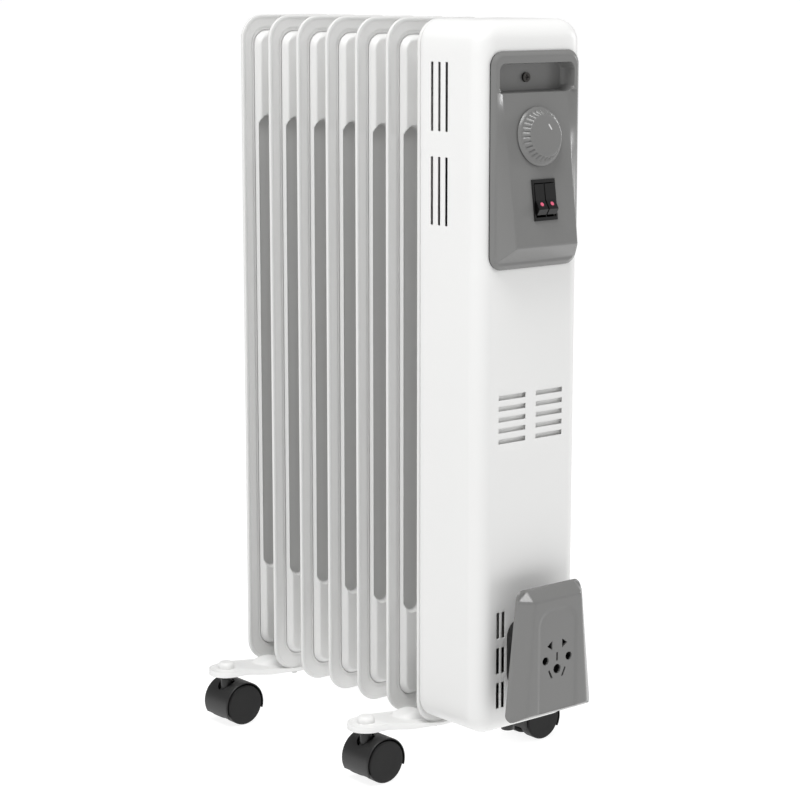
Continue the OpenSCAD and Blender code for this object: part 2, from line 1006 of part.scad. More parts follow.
// One cup-shaped wheel; out is the side of the caster that it is on
module wheel(out) {
    r = wheel_d / 2;
    color("#303030")
        translate([caster_trail, 0, r])
            mirror([0, out < 0 ? 0 : 1, 0])
                difference() {
                    rod_y(wheel_d, -wheel_face, -wheel_inner);
                    rod_y(wheel_d - 7, -wheel_face + 2, -wheel_inner + 1);
                    rod_y(axle_d + 2 * running_gap, -wheel_face + 2, -wheel_inner);
                }
    color("#303030")
        translate([caster_trail, 0, r])
            mirror([0, out < 0 ? 0 : 1, 0])
                difference() {
                    rod_y(9, -wheel_face + 2, -2.7);
                    rod_y(axle_d + 2 * running_gap, -wheel_face + 1, -2);
                }
}

// ---- nodes ---------------------------------------------------------------

fin(0);  // fin_1
fin(1);  // fin_2
fin(2);  // fin_3
fin(3);  // fin_4
fin(4);  // fin_5
fin(5);  // fin_6
fin(6);  // fin_7
header(header_top_z);  // header_top
header(header_low_z);  // header_bottom
filler_plug();
header_cap(header_top_z, header_front_y, 1);  // cap_top_front
header_cap(header_low_z, header_rear_y, -1);  // cap_bottom_rear
heating_element();
element_flange();
heat_shield();
front_cover();
fascia();
handle_screw();
thermostat_body();
thermostat_shaft();
knob();
knob_mark();
switch_housing();
rocker(-1);  // rocker_left
rocker(1);  // rocker_right
lamp(-1);  // lamp_left
lamp(1);  // lamp_right
thermal_cutout();
tilt_switch();
terminal_block();
wire_harness();
cord_gland();
cord_store_hub();
cord_store_shell();
cord_store_screw(screw_top_z);  // cord_store_screw_upper
cord_store_screw(screw_low_z);  // cord_store_screw_lower
foot(foot_front_y);  // foot_front
foot(foot_rear_y);  // foot_rear
u_bolt(foot_front_y);  // u_bolt_front
u_bolt(foot_rear_y);  // u_bolt_rear
wing_nut(foot_front_y, -1);  // wing_nut_front_left
wing_nut(foot_front_y, 1);  // wing_nut_front_right
wing_nut(foot_rear_y, -1);  // wing_nut_rear_left
wing_nut(foot_rear_y, 1);  // wing_nut_rear_right
at_caster(-1, foot_front_y) stem();  // stem_front_left
at_caster(-1, foot_front_y) hood();  // hood_front_left
at_caster(-1, foot_front_y) wheel(-1);  // wheel_front_left_a
at_caster(-1, foot_front_y) wheel(1);  // wheel_front_left_b
at_caster(1, foot_front_y) stem();  // stem_front_right
at_caster(1, foot_front_y) hood();  // hood_front_right
at_caster(1, foot_front_y) wheel(-1);  // wheel_front_right_a
at_caster(1, foot_front_y) wheel(1);  // wheel_front_right_b
at_caster(-1, foot_rear_y) stem();  // stem_rear_left
at_caster(-1, foot_rear_y) hood();  // hood_rear_left
at_caster(-1, foot_rear_y) wheel(-1);  // wheel_rear_left_a
at_caster(-1, foot_rear_y) wheel(1);  // wheel_rear_left_b
at_caster(1, foot_rear_y) stem();  // stem_rear_right
at_caster(1, foot_rear_y) hood();  // hood_rear_right
at_caster(1, foot_rear_y) wheel(-1);  // wheel_rear_right_a
at_caster(1, foot_rear_y) wheel(1);  // wheel_rear_right_b
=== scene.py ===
"""Oil filled radiator heater: the visible pieces as computed surfaces, their finishes, and the studio."""

import json
import math

import bmesh
import bpy
import numpy as np
from mathutils import Euler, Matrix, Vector


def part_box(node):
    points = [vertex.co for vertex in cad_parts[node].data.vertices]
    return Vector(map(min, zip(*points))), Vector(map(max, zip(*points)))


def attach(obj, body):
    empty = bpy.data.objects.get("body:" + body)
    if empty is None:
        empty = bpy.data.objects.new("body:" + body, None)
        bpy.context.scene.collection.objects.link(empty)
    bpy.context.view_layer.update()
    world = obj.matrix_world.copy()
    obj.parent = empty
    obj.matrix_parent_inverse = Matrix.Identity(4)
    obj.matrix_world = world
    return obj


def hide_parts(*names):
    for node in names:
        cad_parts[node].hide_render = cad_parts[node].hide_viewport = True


bl_info = {
    "name": "Oil filled radiator heater",
    "version": (1, 0, 0),
    "blender": (4, 5, 0),
    "location": "3D View > Sidebar > Heater",
    "description": "Builds a steel fin heater with its controls, cord store and casters",
    "category": "Add Mesh",
}

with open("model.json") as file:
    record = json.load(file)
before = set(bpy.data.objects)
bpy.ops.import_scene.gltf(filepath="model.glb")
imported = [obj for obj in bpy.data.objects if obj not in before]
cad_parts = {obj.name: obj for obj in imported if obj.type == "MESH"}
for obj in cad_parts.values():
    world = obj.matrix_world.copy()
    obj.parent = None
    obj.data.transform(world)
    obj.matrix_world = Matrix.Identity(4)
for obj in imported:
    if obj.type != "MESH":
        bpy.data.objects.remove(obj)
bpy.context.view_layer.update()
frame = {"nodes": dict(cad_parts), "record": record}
MM = 0.001


def node_box(name):
    """A CAD node's lowest and highest corners in millimetres."""
    low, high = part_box(name)
    return np.array(low) / MM, np.array(high) / MM


FIN_COUNT = 7
FIN_LOW, FIN_HIGH = node_box("fin_1")
FIN_HALF_W = FIN_HIGH[0]
FIN_HALF_H = (FIN_HIGH[2] - FIN_LOW[2]) / 2
FIN_MID_Z = (FIN_HIGH[2] + FIN_LOW[2]) / 2
SLOT_HALF_H = 203.0
COVER_LOW, COVER_HIGH = node_box("front_cover")
COVER_FRONT = COVER_LOW[1]
FASCIA_LOW, FASCIA_HIGH = node_box("fascia")
FASCIA_HALF_X = FASCIA_HIGH[0]
FASCIA_HALF_Z = (FASCIA_HIGH[2] - FASCIA_LOW[2]) / 2
FASCIA_MID_Z = (FASCIA_HIGH[2] + FASCIA_LOW[2]) / 2
FASCIA_CORNER = 12.0
# How far the fascia's edge stands off the cover
FASCIA_GAP = 1.3
STORE_LOW, STORE_HIGH = node_box("cord_store_shell")

# The knob and the switch stand on the fascia's sloped panel
PANEL_TOP_Z = 566.0
PANEL_LOW_Z = 446.5
PANEL_TOP_OUT = 1.3
PANEL_LOW_OUT = 17.6
PANEL_TILT = math.atan((PANEL_LOW_OUT - PANEL_TOP_OUT) / (PANEL_TOP_Z - PANEL_LOW_Z))
KNOB_Z = 531.5
SWITCH_Z = 482.5

CASTERS = ("front_left", "front_right", "rear_left", "rear_right")
STEM_X = 96.5
TRAIL = 8.0
AXLE_Z = 18.0
# How far below the axle a hood ends, on the trailing side and on the stem's side
HOOD_END_TRAIL = 6.0
HOOD_END_STEM = 10.0


# ---- sizes and colours that a user would change -----------------------------


class HeaterSizes(bpy.types.PropertyGroup):
    """Sizes of the pressed and moulded detail."""

    fin_corner: bpy.props.FloatProperty(
        name="Fin corner", description="Corner radius of a fin, mm", default=21.0, min=16.0, max=24.0
    )
    fin_bulge: bpy.props.FloatProperty(
        name="Fin bulge", description="Height of the oil channels above a fin's middle, mm", default=5.4
    )
    slot_x: bpy.props.FloatProperty(
        name="Slot place", description="Distance of the long slots from the fin's middle, mm", default=30.0
    )
    slot_width: bpy.props.FloatProperty(
        name="Slot width", description="Width of the long pressed slots, mm", default=18.0
    )
    cover_fillet: bpy.props.FloatProperty(
        name="Cover edge", description="Radius of the cover's front edges, mm", default=15.0
    )
    knob_ribs: bpy.props.IntProperty(
        name="Knob ribs", description="Number of grip ribs on the knob", default=28, min=12, max=40
    )


class HeaterColours(bpy.types.PropertyGroup):
    """Colours of the finishes, as sRGB hex values."""

    fin: bpy.props.StringProperty(name="Fins", description="Powder coat of the fins", default="#e2e2e1")
    # Painted shade: a darker grey laid on the slots' floors for the shade in the recesses between the fins
    painted_slot_shade: bpy.props.StringProperty(
        name="Slot floors", description="Tone of the fins' pressed slots", default="#b6b6b5"
    )
    cover: bpy.props.StringProperty(name="Cover", description="Powder coat of the cover", default="#e9e9e8")
    foot: bpy.props.StringProperty(name="Feet", description="Powder coat of the feet", default="#f0f0ef")
    plastic: bpy.props.StringProperty(name="Grey plastic", description="Moulded ABS", default="#797978")
    black: bpy.props.StringProperty(name="Black plastic", description="Moulded nylon", default="#1d1d1d")
    lamp: bpy.props.StringProperty(name="Lamp", description="Tinted lens", default="#d4607a")


def sizes():
    return bpy.context.scene.heater_sizes


def colours():
    return bpy.context.scene.heater_colours


# ---- surfaces ---------------------------------------------------------------


def smoothstep(low, high, value):
    """0 below low, 1 above high, and 3t^2 - 2t^3 between them."""
    t = np.clip((value - low) / (high - low), 0.0, 1.0)
    return t * t * (3.0 - 2.0 * t)


def spread(*stops):
    """Grid lines from stops (start, step), (next, step) ... (end,), evenly spaced between two stops."""
    lines = []
    for (start, step), (end, *_) in zip(stops, stops[1:]):
        count = max(1, round(abs(end - start) / step))
        lines.append(np.linspace(start, end, count + 1)[:-1])
    return np.append(np.concatenate(lines), stops[-1][0])


def mirrored(half):
    """Grid lines on both sides of zero from those at and above it."""
    return np.concatenate([-half[:0:-1], half])


def grid_faces(rows, cols, wrap=False):
    """Quads between neighbouring points of a rows by cols grid; wrap joins the last column to the first."""
    i, j = np.meshgrid(np.arange(rows - 1), np.arange(cols if wrap else cols - 1), indexing="ij")
    k = (j + 1) % cols
    return np.stack([i * cols + j, i * cols + k, (i + 1) * cols + k, (i + 1) * cols + j], -1).reshape(-1, 4)


def box_distance(x, z, half_x, half_z, radius):
    """Signed distance to a rounded rectangle about the origin: below zero inside it."""
    dx = np.abs(x) - (half_x - radius)
    dz = np.abs(z) - (half_z - radius)
    outside = np.hypot(np.maximum(dx, 0.0), np.maximum(dz, 0.0))
    return outside + np.minimum(np.maximum(dx, dz), 0.0) - radius


def to_rounded(x, z, reference, target):
    """Carries a rectangle to a rounded one: the core is scaled, each square corner becomes a quarter disc.

    reference is (half_x, half_z, corner) of the rectangle, target is the same of the rounded rectangle.
    """
    half_x, half_z, corner = reference
    core_x = np.clip(x, -(half_x - corner), half_x - corner)
    core_z = np.clip(z, -(half_z - corner), half_z - corner)
    off_x, off_z = x - core_x, z - core_z
    length = np.hypot(off_x, off_z)
    longest = np.maximum(np.abs(off_x), np.abs(off_z))
    shrink = np.where(length > 1e-9, longest / np.maximum(length, 1e-9), 0.0)
    new_x, new_z, radius = target
    scale_x = (new_x - radius) / (half_x - corner)
    scale_z = (new_z - radius) / (half_z - corner)
    grow = shrink * radius / corner
    return core_x * scale_x + off_x * grow, core_z * scale_z + off_z * grow


def drawn_onto(distance, x, z, reach):
    """Moves the points within reach of an outline onto it, along the slope of its signed distance."""
    step = 0.01
    for _ in range(3):
        d = distance(x, z)
        slope_x = (distance(x + step, z) - distance(x - step, z)) / (2 * step)
        slope_z = (distance(x, z + step) - distance(x, z - step)) / (2 * step)
        near = np.abs(d) < reach
        x = x - np.where(near, d * slope_x, 0.0)
        z = z - np.where(near, d * slope_z, 0.0)
    return x, z


def border(xs, zs):
    """The points of a rectangle's border in order, from its grid lines."""
    x = np.concatenate([xs[:-1], np.full(len(zs) - 1, xs[-1]), xs[:0:-1], np.full(len(zs) - 1, xs[0])])
    z = np.concatenate([np.full(len(xs) - 1, zs[0]), zs[:-1], np.full(len(xs) - 1, zs[-1]), zs[:0:-1]])
    return x, z


def lathe(profile, turns=64):
    """A profile of (radius, height) rows turned round the Z axis; rows at radius 0 close it."""
    profile = np.asarray(profile, float)
    angle = np.linspace(0.0, 2.0 * math.pi, turns, endpoint=False)
    radius = profile[:, :1]
    points = np.stack(
        [
            radius * np.cos(angle),
            radius * np.sin(angle),
            np.broadcast_to(profile[:, 1:], (len(profile), turns)),
        ],
        -1,
    )
    return points.reshape(-1, 3), grid_faces(len(profile), turns, wrap=True)


def rounded_profile(corners, radius, steps=4):
    """A polygon of (a, b) rows with each inner corner replaced by an arc-like curve of the given radius."""
    corners = np.asarray(corners, float)
    rows = [corners[0]]
    for before, here, after in zip(corners, corners[1:], corners[2:]):
        back, on = before - here, after - here
        reach = min(radius, 0.45 * np.linalg.norm(back), 0.45 * np.linalg.norm(on))
        start = here + back / max(np.linalg.norm(back), 1e-9) * reach
        end = here + on / max(np.linalg.norm(on), 1e-9) * reach
        t = np.linspace(0.0, 1.0, steps + 1)[:, None]
        rows.extend((1 - t) ** 2 * start + 2 * t * (1 - t) * here + t * t * end)
    rows.append(corners[-1])
    return np.array(rows)


def place(points, rows, origin):
    """Points in a local frame given by the rows of its X, Y and Z directions, moved to origin."""
    return np.asarray(points) @ np.asarray(rows, float) + np.asarray(origin, float)


def make(name, shells, body, replaces, material, sharp=35.0, solid=0.0, bevel=0.0):
    """One piece from (points in mm, quads) shells, welded, turned outwards and given its wall and edges."""
    points, faces, start = [], [], 0
    for shell_points, shell_faces in shells:
        points.append(np.asarray(shell_points).reshape(-1, 3))
        faces.append(np.asarray(shell_faces) + start)
        start += len(points[-1])
    mesh = bpy.data.meshes.new(name)
    mesh.from_pydata((np.concatenate(points) * MM).tolist(), [], np.concatenate(faces).tolist())
    work = bmesh.new()
    work.from_mesh(mesh)
    bmesh.ops.remove_doubles(work, verts=work.verts, dist=0.02 * MM)
    bmesh.ops.dissolve_degenerate(work, edges=work.edges, dist=0.004 * MM)
    bmesh.ops.recalc_face_normals(work, faces=work.faces)
    work.to_mesh(mesh)
    work.free()
    piece = bpy.data.objects.new(name, mesh)
    bpy.context.scene.collection.objects.link(piece)
    if solid:
        wall = piece.modifiers.new("Wall", "SOLIDIFY")
        wall.thickness = solid * MM
        wall.offset = -1.0
    if bevel:
        edge = piece.modifiers.new("Edge", "BEVEL")
        edge.width = bevel * MM
        edge.segments = 2
        edge.limit_method = "ANGLE"
        edge.angle_limit = math.radians(50.0)
    if solid or bevel:
        shaped = bpy.data.meshes.new_from_object(piece.evaluated_get(bpy.context.evaluated_depsgraph_get()))
        piece.modifiers.clear()
        piece.data = shaped
    piece.data.name = name
    piece.data.shade_smooth()
    piece.data.set_sharp_from_angle(angle=math.radians(sharp))
    piece.data.materials.clear()
    piece.data.materials.append(material)
    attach(piece, body)
    if replaces:
        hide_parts(*replaces)
    return piece


# ---- finishes ---------------------------------------------------------------


def hex_linear(code, alpha=1.0):
    """An sRGB hex colour as linear red, green, blue and alpha."""
    values = np.array([int(code[i : i + 2], 16) for i in (1, 3, 5)]) / 255.0
    linear = np.where(values <= 0.04045, values / 12.92, ((values + 0.055) / 1.055) ** 2.4)
    return (*linear.tolist(), alpha)


def add_node(material, kind, settings=None, links=None):
    """Adds a node, sets its properties or inputs by name, and links inputs to other nodes' outputs."""
    node = material.node_tree.nodes.new(kind)
    for key, value in (settings or {}).items():
        if key in node.inputs:
            node.inputs[key].default_value = value
        else:
            setattr(node, key, value)
    for key, (source, output) in (links or {}).items():
        material.node_tree.links.new(source.outputs[output], node.inputs[key])
    return node


def finish_of(name, base, rough, spread_rough, grain_mm, bump_mm, metal=0.0, shade=0.03, ior=1.5):
    """A finish with a fine relief of the given grain, its roughness and colour drifting over the surface."""
    material = bpy.data.materials.new(name)
    material.use_nodes = True
    tree = material.node_tree
    shader = tree.nodes["Principled BSDF"]
    shader.inputs["Metallic"].default_value = metal
    shader.inputs["IOR"].default_value = ior
    place_of = add_node(material, "ShaderNodeTexCoord")
    grain = add_node(
        material,
        "ShaderNodeTexNoise",
        {"Scale": 1.0 / (grain_mm * MM), "Detail": 2.0},
        {"Vector": (place_of, "Object")},
    )
    drift = add_node(
        material, "ShaderNodeTexNoise", {"Scale": 14.0, "Detail": 3.0}, {"Vector": (place_of, "Object")}
    )
    dark = tuple(c * (1.0 - shade) for c in hex_linear(base)[:3]) + (1.0,)
    tint = add_node(material, "ShaderNodeMix", {"data_type": "RGBA"}, {"Factor": (drift, "Fac")})
    tint.inputs[6].default_value = dark
    tint.inputs[7].default_value = hex_linear(base)
    gloss = add_node(
        material,
        "ShaderNodeMapRange",
        {"To Min": rough - spread_rough, "To Max": rough + spread_rough},
        {"Value": (drift, "Fac")},
    )
    relief = add_node(
        material, "ShaderNodeBump", {"Strength": 1.0, "Distance": bump_mm * MM}, {"Height": (grain, "Fac")}
    )
    tree.links.new(tint.outputs[2], shader.inputs["Base Color"])
    tree.links.new(gloss.outputs["Result"], shader.inputs["Roughness"])
    tree.links.new(relief.outputs["Normal"], shader.inputs["Normal"])
    return material


def darker_where(material, attribute, code):
    """Lays a darker colour over a finish where the mesh's attribute is 1; it carries painted shade."""
    tree = material.node_tree
    shader = tree.nodes["Principled BSDF"]
    before = shader.inputs["Base Color"].links[0].from_socket
    marked = add_node(material, "ShaderNodeAttribute", {"attribute_name": attribute})
    mix = add_node(material, "ShaderNodeMix", {"data_type": "RGBA"}, {"Factor": (marked, "Fac")})
    tree.links.new(before, mix.inputs[6])
    mix.inputs[7].default_value = hex_linear(code)
    tree.links.new(mix.outputs[2], shader.inputs["Base Color"])


FINISHES = {}


def make_finishes():
    """The finishes by the record's slot names, each started from what the real one is."""
    c = colours()
    # Polyester powder coat on steel: satin, with a faint orange peel of about 2 mm
    FINISHES["fin_paint"] = finish_of("powder_coat_fins", c.fin, 0.42, 0.04, 2.0, 0.02)
    # Painted shade: the slots' floors get a greyer tone than the channels, standing in for the shade deep in
    # the recesses between the fins
    darker_where(FINISHES["fin_paint"], "painted_slot_shade", c.painted_slot_shade)
    FINISHES["cover_paint"] = finish_of("powder_coat_cover", c.cover, 0.40, 0.04, 2.0, 0.02)
    FINISHES["foot_paint"] = finish_of("powder_coat_feet", c.foot, 0.40, 0.04, 2.0, 0.02)
    # Injection moulded ABS, semi-gloss over a fine grain of 0.7 mm
    FINISHES["grey_plastic"] = finish_of("moulded_abs_grey", c.plastic, 0.25, 0.04, 0.7, 0.008, shade=0.05)
    # Glass filled nylon: dark, a soft sheen, slightly uneven; the wheels are duller
    FINISHES["black_plastic"] = finish_of("moulded_nylon_black", c.black, 0.42, 0.06, 0.8, 0.015, shade=0.12)
    FINISHES["wheel_plastic"] = finish_of(
        "moulded_nylon_wheel", "#141414", 0.46, 0.06, 0.8, 0.015, shade=0.12, ior=1.35
    )
    # Polished polycarbonate rockers
    FINISHES["switch_black"] = finish_of(
        "moulded_pc_black", "#080808", 0.3, 0.04, 0.6, 0.004, shade=0.1, ior=1.45
    )
    # Pad printed mark
    FINISHES["white_mark"] = finish_of("pad_print_white", "#cfcfcf", 0.5, 0.03, 0.5, 0.004)
    # Zinc plate on steel: bright with a slightly milky drift
    FINISHES["zinc_steel"] = finish_of(
        "zinc_plated_steel", "#c4c4c2", 0.3, 0.08, 1.2, 0.006, metal=1.0, shade=0.15
    )
    FINISHES["element_steel"] = finish_of(
        "sheathed_steel", "#4c4a48", 0.45, 0.1, 1.0, 0.01, metal=1.0, shade=0.2
    )
    FINISHES["flange_brass"] = finish_of(
        "turned_brass", "#c9a45c", 0.3, 0.06, 0.8, 0.006, metal=1.0, shade=0.1
    )
    FINISHES["inner_plastic"] = finish_of("moulded_urea_cream", "#ddd8c4", 0.5, 0.05, 0.9, 0.008)
    FINISHES["wire_sleeve"] = finish_of("glass_fibre_sleeve", "#7a2a22", 0.7, 0.08, 1.1, 0.12, shade=0.25)
    lamp = finish_of("tinted_lens", c.lamp, 0.12, 0.02, 1.0, 0.002, ior=1.49)
    shader = lamp.node_tree.nodes["Principled BSDF"]
    shader.inputs["Emission Color"].default_value = hex_linear(c.lamp)
    shader.inputs["Emission Strength"].default_value = 0.1
    FINISHES["lamp_red"] = lamp


# ---- pieces -----------------------------------------------------------------


def slot_distance(px, pz):
    """Signed distance to the outline of the nearer of a fin's two long slots; Z is from the fin's middle."""
    half_w = sizes().slot_width / 2
    return box_distance(np.abs(px) - sizes().slot_x, pz, half_w, SLOT_HALF_H, half_w - 0.01)


def fin_shells():
    """One fin about y = 0: rings from the hem to the contour groove, then the pressed panel, both sides."""
    s = sizes()
    groove_inset = 13.2
    reference = (FIN_HALF_W - groove_inset, FIN_HALF_H - groove_inset, 13.0)
    half_x, half_z, corner = reference
    xs = mirrored(spread((0, 3.0), (18, 0.75), (half_x,)))
    zs = mirrored(
        spread((0, 24.0), (SLOT_HALF_H - 16, 1.0), (SLOT_HALF_H + 4, 6.0), (half_z - 14, 1.2), (half_z,))
    )
    # Inset from the fin's outline, corner radius, and height above the middle plane
    rings = np.array(
        [
            [0.0, s.fin_corner, 0.0],
            [0.0, s.fin_corner, 0.8],
            [0.2, s.fin_corner - 0.2, 1.2],
            [0.6, s.fin_corner - 0.5, 1.4],
            [2.6, s.fin_corner - 1.6, 1.4],
            [3.1, s.fin_corner - 2.0, 1.1],
            [3.6, s.fin_corner - 2.3, 1.0],
            [9.2, 15.5, 1.0],
            [9.9, 15.0, 0.95],
            [10.6, 14.6, 0.6],
            [11.4, 14.1, 0.1],
            [12.2, 13.6, -0.05],
            [groove_inset, 13.0, 0.0],
        ]
    )
    bx, bz = border(xs, zs)
    loops = []
    for inset, radius, height in rings:
        x, z = to_rounded(bx, bz, reference, (FIN_HALF_W - inset, FIN_HALF_H - inset, radius))
        loops.append(np.stack([x, np.full_like(x, -height), z], -1))
    loops = np.array(loops)
    gx, gz = np.meshgrid(xs, zs)
    x, z = to_rounded(gx, gz, reference, reference)
    inside = -box_distance(x, z, half_x, half_z, corner)
    rise = smoothstep(0.0, 4.2, inside) * s.fin_bulge
    x, z = drawn_onto(slot_distance, x, z, 0.5)
    slot = slot_distance(x, z)
    # Between the channels the two sheets lie welded together, with a steep wall up to the channels
    pressed = 1.0 - smoothstep(-0.9, 0.9, slot)
    floor_height = 0.8
    height = rise * (1.0 - pressed) + np.minimum(rise, floor_height) * pressed
    panel = np.stack([x, -height, z], -1)
    cells = grid_faces(len(zs), len(xs))
    shells = []
    for side in (1.0, -1.0):
        flip = np.array([1.0, side, 1.0])
        shells.append((loops * flip, grid_faces(len(rings), len(bx), wrap=True)))
        shells.append((panel * flip, cells))
    return shells


def mark_painted_slot_shade(piece):
    """Writes 1 on the slots' floors, where the painted shade goes, and 0 elsewhere, changing over about a
    millimetre at their walls.
    """
    places = np.empty(len(piece.data.vertices) * 3)
    piece.data.vertices.foreach_get("co", places)
    x, _, z = places.reshape(-1, 3).T / MM
    floor = piece.data.attributes.new("painted_slot_shade", "FLOAT", "POINT")
    floor.data.foreach_set("value", 1.0 - smoothstep(-0.6, 0.3, slot_distance(x, z - FIN_MID_Z)))


def cover_shells():
    """Five faces of a box carried to the rounded cover: a point moves to one fillet radius from the core
    nearest to it. Cells inside vents and the fascia's opening are left out."""
    fillet = sizes().cover_fillet
    corner = 19.0
    half_x = COVER_HIGH[0]
    low_z, high_z = COVER_LOW[2], COVER_HIGH[2]
    mid_z, half_z = (low_z + high_z) / 2, (high_z - low_z) / 2
    back_y = COVER_HIGH[1]
    lip, lip_depth = 1.5, 2.0
    fascia_opening = (-42.7, 42.7, 432.5, 594.0)
    low_vent_x, low_vent_z = (27.8, 33.4), (82.0, 111.0, 140.5)
    grille_x, grille_z = 20, 326.5 - 8.8 * np.arange(5)
    side_vent_y, side_vent_z = back_y + 1.4 - np.array([16.7, 25.4, 34.1]), (488.0, 562.0)

    def slot_at(a, b, half_a, half_b):
        """A hole's bounds from its middle and its half sizes."""
        return (a - half_a, a + half_a, b - half_b, b + half_b)

    holes_front = [fascia_opening]
    for sign in (-1, 1):
        holes_front += [slot_at(sign * x, z, 1.7, 10.75) for x in low_vent_x for z in low_vent_z]
        holes_front += [slot_at(sign * grille_x, z, 14.5, 1.95) for z in grille_z]
    holes_side = [slot_at(y, z, 1.5, 27.0) for y in side_vent_y for z in side_vent_z]

    def lines(low, high, step, edges, fine=2.4, reach=16.0):
        """Regular lines that are finer near both ends, with every hole's edges among them."""
        plain = spread((low, fine), (low + reach, step), (high - reach, fine), (high,))
        edges = np.unique(np.round(edges, 4))
        apart = np.min(np.abs(plain[:, None] - edges[None, :]), axis=1) > 0.8
        apart[[0, -1]] = True
        return np.unique(np.concatenate([plain[apart], edges]))

    xs = lines(-half_x, half_x, 6.0, [v for h in holes_front for v in h[:2]])
    zs = lines(low_z, high_z, 9.0, [v for h in holes_front + holes_side for v in h[2:]])
    deep = spread((COVER_FRONT, 2.4), (COVER_FRONT + fillet + 1, 5.0), (back_y - lip_depth,))
    edges_y = [v for h in holes_side for v in h[:2]]
    apart = np.min(np.abs(deep[:, None] - np.array(edges_y)[None, :]), axis=1) > 0.8
    apart[[0, -1]] = True
    ys = np.unique(np.concatenate([deep[apart], edges_y]))
    depth = np.concatenate([ys, [back_y - lip_depth, back_y]])
    inset = np.concatenate([np.zeros(len(ys)), [lip, lip]])

    def shaped(x, y, z, shrink):
        """The rounded cover's point for a point of the box."""
        z = z - mid_z
        cx = np.clip(x, -(half_x - corner), half_x - corner)
        cz = np.clip(z, -(half_z - corner), half_z - corner)
        ox, oz = x - cx, z - cz
        length = np.maximum(np.hypot(ox, oz), 1e-9)
        keep = np.minimum(corner - fillet, length) / length
        sx, sz = cx + ox * keep, cz + oz * keep
        sy = np.maximum(y, COVER_FRONT + fillet)
        d = np.stack([x - sx, y - sy, z - sz], -1)
        size = np.maximum(np.linalg.norm(d, axis=-1, keepdims=True), 1e-9)
        d = d / size * (fillet - shrink[..., None] if np.ndim(shrink) else fillet - shrink)
        return np.stack([sx + d[..., 0], sy + d[..., 1], sz + d[..., 2] + mid_z], -1)

    def kept(faces, a, b, holes):
        """Drops the cells whose middle lies in a hole."""
        ma, mb = a.reshape(-1)[faces].mean(1), b.reshape(-1)[faces].mean(1)
        drop = np.zeros(len(faces), bool)
        for low_a, high_a, low_b, high_b in holes:
            drop |= (ma > low_a) & (ma < high_a) & (mb > low_b) & (mb < high_b)
        return faces[~drop]

    gx, gz = np.meshgrid(xs, zs)
    shells = [
        (
            shaped(gx, np.full_like(gx, COVER_FRONT), gz, 0.0),
            kept(grid_faces(len(zs), len(xs)), gx, gz, holes_front),
        )
    ]
    for sign in (-1, 1):
        gz, gy = np.meshgrid(zs, depth, indexing="ij")
        shrink = np.broadcast_to(inset, gy.shape)
        side = shaped(np.full_like(gy, sign * half_x), gy, gz, shrink)
        shells.append((side, kept(grid_faces(*gy.shape), gy, gz, holes_side)))
        gx, gy = np.meshgrid(xs, depth, indexing="ij")
        cap = shaped(gx, gy, np.full_like(gx, mid_z + sign * half_z), np.broadcast_to(inset, gy.shape))
        shells.append((cap, grid_faces(*gx.shape)))
    return shells


def tray_shell():
    """A shallow tray behind the grille: a flat plate whose border is turned forward to the cover."""
    half_x, half_z, mid_z, depth = 37.5, 24.5, 308.9, 4.0
    xs, zs = np.linspace(-half_x, half_x, 12), np.linspace(-half_z, half_z, 9)
    gx, gz = np.meshgrid(xs, zs)
    plate = np.stack([gx, np.full_like(gx, COVER_FRONT + depth), gz + mid_z], -1)
    bx, bz = border(xs, zs)
    walls = np.array(
        [np.stack([bx, np.full_like(bx, COVER_FRONT + y), bz + mid_z], -1) for y in (0.6, depth)]
    )
    return [(plate, grid_faces(len(zs), len(xs))), (walls, grid_faces(2, len(bx), wrap=True))]


